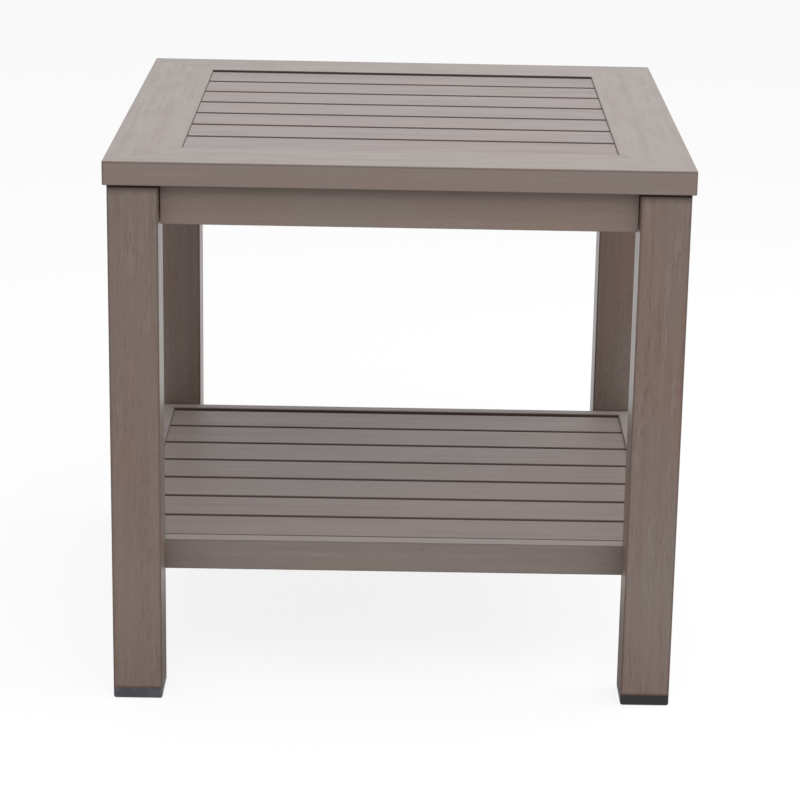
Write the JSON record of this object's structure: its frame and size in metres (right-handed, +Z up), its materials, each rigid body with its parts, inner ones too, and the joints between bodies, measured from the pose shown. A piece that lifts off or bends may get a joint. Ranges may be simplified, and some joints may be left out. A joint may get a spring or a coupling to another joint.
{
  "type": "end table with shelf",
  "caption": "Square end table of coated aluminium tube, with a slatted top in a mitred frame, square legs, aprons and a slatted lower shelf.",
  "frame": {"origin": "on the floor, under the middle of the table", "axes": "+Z up, -Y towards the front, +X to the right seen from the front; slats run along X"},
  "size_m": [0.58, 0.58, 0.565],
  "materials": {
    "wood_look_coat": "satin",
    "dark_plastic": "matte",
    "stainless_steel": "satin"
  },
  "bodies": {
    "root": {"apron_back": "wood_look_coat", "apron_bolts": "stainless_steel", "apron_front": "wood_look_coat", "apron_left": "wood_look_coat", "apron_right": "wood_look_coat", "bolt_washers": "stainless_steel", "bracket_back_apron_left": "wood_look_coat", "bracket_back_apron_right": "wood_look_coat", "bracket_front_apron_left": "wood_look_coat", "bracket_front_apron_right": "wood_look_coat", "bracket_left_apron_back": "wood_look_coat", "bracket_left_apron_front": "wood_look_coat", "bracket_right_apron_back": "wood_look_coat", "bracket_right_apron_front": "wood_look_coat", "bracket_rivets": "stainless_steel", "foot_cap_back_left": "dark_plastic", "foot_cap_back_right": "dark_plastic", "foot_cap_front_left": "dark_plastic", "foot_cap_front_right": "dark_plastic", "leg_back_left": "wood_look_coat", "leg_back_right": "wood_look_coat", "leg_front_left": "wood_look_coat", "leg_front_right": "wood_look_coat", "leg_rivet_nuts": "stainless_steel", "leg_top_plug_back_left": "dark_plastic", "leg_top_plug_back_right": "dark_plastic", "leg_top_plug_front_left": "dark_plastic", "leg_top_plug_front_right": "dark_plastic", "shelf_bolts": "stainless_steel", "shelf_rail_back": "wood_look_coat", "shelf_rail_front": "wood_look_coat", "shelf_rail_left": "wood_look_coat", "shelf_rail_right": "wood_look_coat", "shelf_slat_1": "wood_look_coat", "shelf_slat_2": "wood_look_coat", "shelf_slat_3": "wood_look_coat", "shelf_slat_4": "wood_look_coat", "shelf_slat_5": "wood_look_coat", "shelf_slat_6": "wood_look_coat", "shelf_slat_7": "wood_look_coat", "shelf_slat_bar": "wood_look_coat", "shelf_slat_ledge_left": "wood_look_coat", "shelf_slat_ledge_right": "wood_look_coat", "shelf_slat_screws": "stainless_steel", "shelf_spacers": "dark_plastic", "top_rail_back": "wood_look_coat", "top_rail_front": "wood_look_coat", "top_rail_left": "wood_look_coat", "top_rail_right": "wood_look_coat", "top_slat_1": "wood_look_coat", "top_slat_2": "wood_look_coat", "top_slat_3": "wood_look_coat", "top_slat_4": "wood_look_coat", "top_slat_5": "wood_look_coat", "top_slat_6": "wood_look_coat", "top_slat_7": "wood_look_coat", "top_slat_bar": "wood_look_coat", "top_slat_ledge_left": "wood_look_coat", "top_slat_ledge_right": "wood_look_coat", "top_slat_screws": "stainless_steel"}
  },
  "joints": []
}
